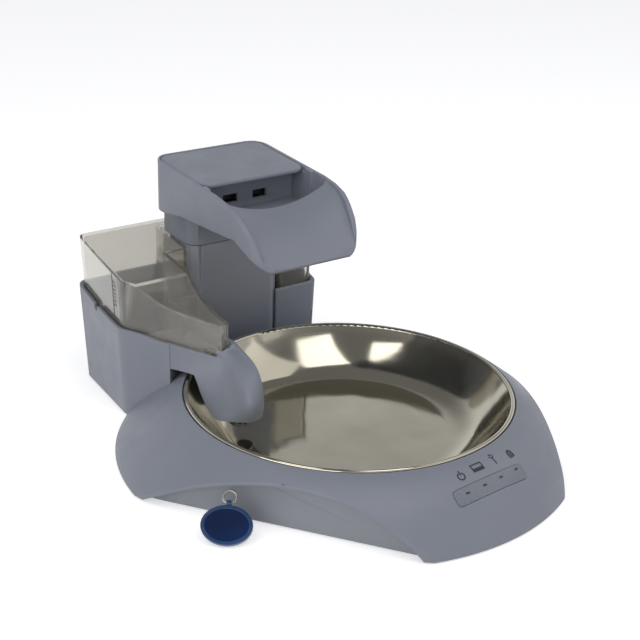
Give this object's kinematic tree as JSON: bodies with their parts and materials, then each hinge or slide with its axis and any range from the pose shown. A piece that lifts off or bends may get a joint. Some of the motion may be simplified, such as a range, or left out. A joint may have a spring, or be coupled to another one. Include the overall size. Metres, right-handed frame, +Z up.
{
  "type": "pet water fountain",
  "caption": "Pet water fountain: a steel bowl in a low dome, a clear side tank, a pump nose over the rim, and a tower with a lidded head that pours a sheet of water.",
  "frame": {"origin": "on the floor, at the middle of the fountain's plan", "axes": "+X to the right, -Y to the front where the indicator strip is, +Z up"},
  "size_m": [0.3328, 0.3767, 0.176],
  "materials": {
    "shell_plastic": "fine satin moulding, blue-grey",
    "clear_tank": "clear tinted moulding",
    "bowl_steel": "polished pressed steel",
    "screw_steel": "plain steel",
    "dark_plastic": "black moulding",
    "white_plastic": "white moulding",
    "rubber": "soft black rubber",
    "silicone": "pale silicone",
    "window": "smoked strip",
    "board": "solder mask",
    "led": "clear lens",
    "foam": "open foam",
    "copper": "enamelled wire coil",
    "magnet": "ferrite",
    "tag_enamel": "deep blue enamel",
    "tag_border": "light blue enamel"
  },
  "bodies": {
    "base": {"base_shell": "shell_plastic", "base_tray": "shell_plastic", "rubber_feet": "rubber", "base_screws": "screw_steel", "indicator_window": "window", "control_board": "board", "indicator_leds": "led", "board_screws": "screw_steel", "tag_reader_coil": "copper"},
    "bowl": {"water_bowl": "bowl_steel"},
    "fountain_unit": {"reservoir_housing": "shell_plastic", "outlet_nose": "shell_plastic", "tower_column": "shell_plastic", "column_screws": "screw_steel", "riser_tube": "silicone", "pump_body": "dark_plastic", "intake_strainer": "dark_plastic", "power_jack": "dark_plastic", "jack_nut": "screw_steel"},
    "impeller": {"pump_impeller": "white_plastic", "rotor_magnet": "magnet", "impeller_shaft": "screw_steel"},
    "tank": {"water_tank": "clear_tank", "tank_cap": "white_plastic", "cap_gasket": "silicone", "valve_spring": "screw_steel"},
    "valve": {"valve_plunger": "white_plastic", "valve_seal": "silicone"},
    "head": {"spout_head": "shell_plastic", "dispenser_plate": "shell_plastic", "filter_cartridge": "white_plastic", "filter_foam": "foam", "filter_cover": "white_plastic", "head_seal": "silicone"},
    "lid": {"head_lid": "shell_plastic", "lid_pins": "screw_steel"},
    "tag": {"collar_tag": "tag_border", "tag_inlay": "tag_enamel"},
    "tag_ring": {"tag_ring": "screw_steel"}
  },
  "joints": [
    {"name": "unit_lift", "type": "slide", "parent": "base", "child": "fountain_unit", "axis": [0, 0, 1], "range_m": [0, 0.1]},
    {"name": "bowl_lift", "type": "slide", "parent": "base", "child": "bowl", "axis": [0, 0, 1], "range_m": [0, 0.04]},
    {"name": "impeller_spin", "type": "hinge", "parent": "fountain_unit", "child": "impeller", "pos_m": [-0.0695, 0.0165, 0.033], "axis": [0, 0, 1], "continuous": true},
    {"name": "head_lift", "type": "slide", "parent": "fountain_unit", "child": "head", "axis": [0, 0, 1], "range_m": [0, 0.1]},
    {"name": "tank_lift", "type": "slide", "parent": "fountain_unit", "child": "tank", "axis": [0, 0, 1], "range_m": [0, 0.06]},
    {"name": "lid_hinge", "type": "hinge", "parent": "head", "child": "lid", "pos_m": [0, 0.166, 0.17331], "axis": [-1, 0, 0], "range_deg": [0, 95]},
    {"name": "valve_push", "type": "slide", "parent": "tank", "child": "valve", "axis": [0, 0, 1], "range_m": [0, 0.0035], "stiffness_N_per_m": 15, "springref_m": -0.004, "deforming": ["valve_spring"]},
    {"name": "tag_lift", "type": "slide", "parent": "base", "child": "tag", "axis": [0, 0, 1], "range_m": [0, 0.05]},
    {"name": "tag_ring_turn", "type": "hinge", "parent": "tag", "child": "tag_ring", "pos_m": [-0.13744, -0.07412, 0.02031], "axis": [0.766, -0.6428, 0], "range_deg": [0, 110]}
  ],
  "couplings": [
    {"joint": "bowl_lift", "follows": "unit_lift", "ratio": 0.4},
    {"joint": "tank_lift", "follows": "head_lift", "ratio": 0.6}
  ]
}
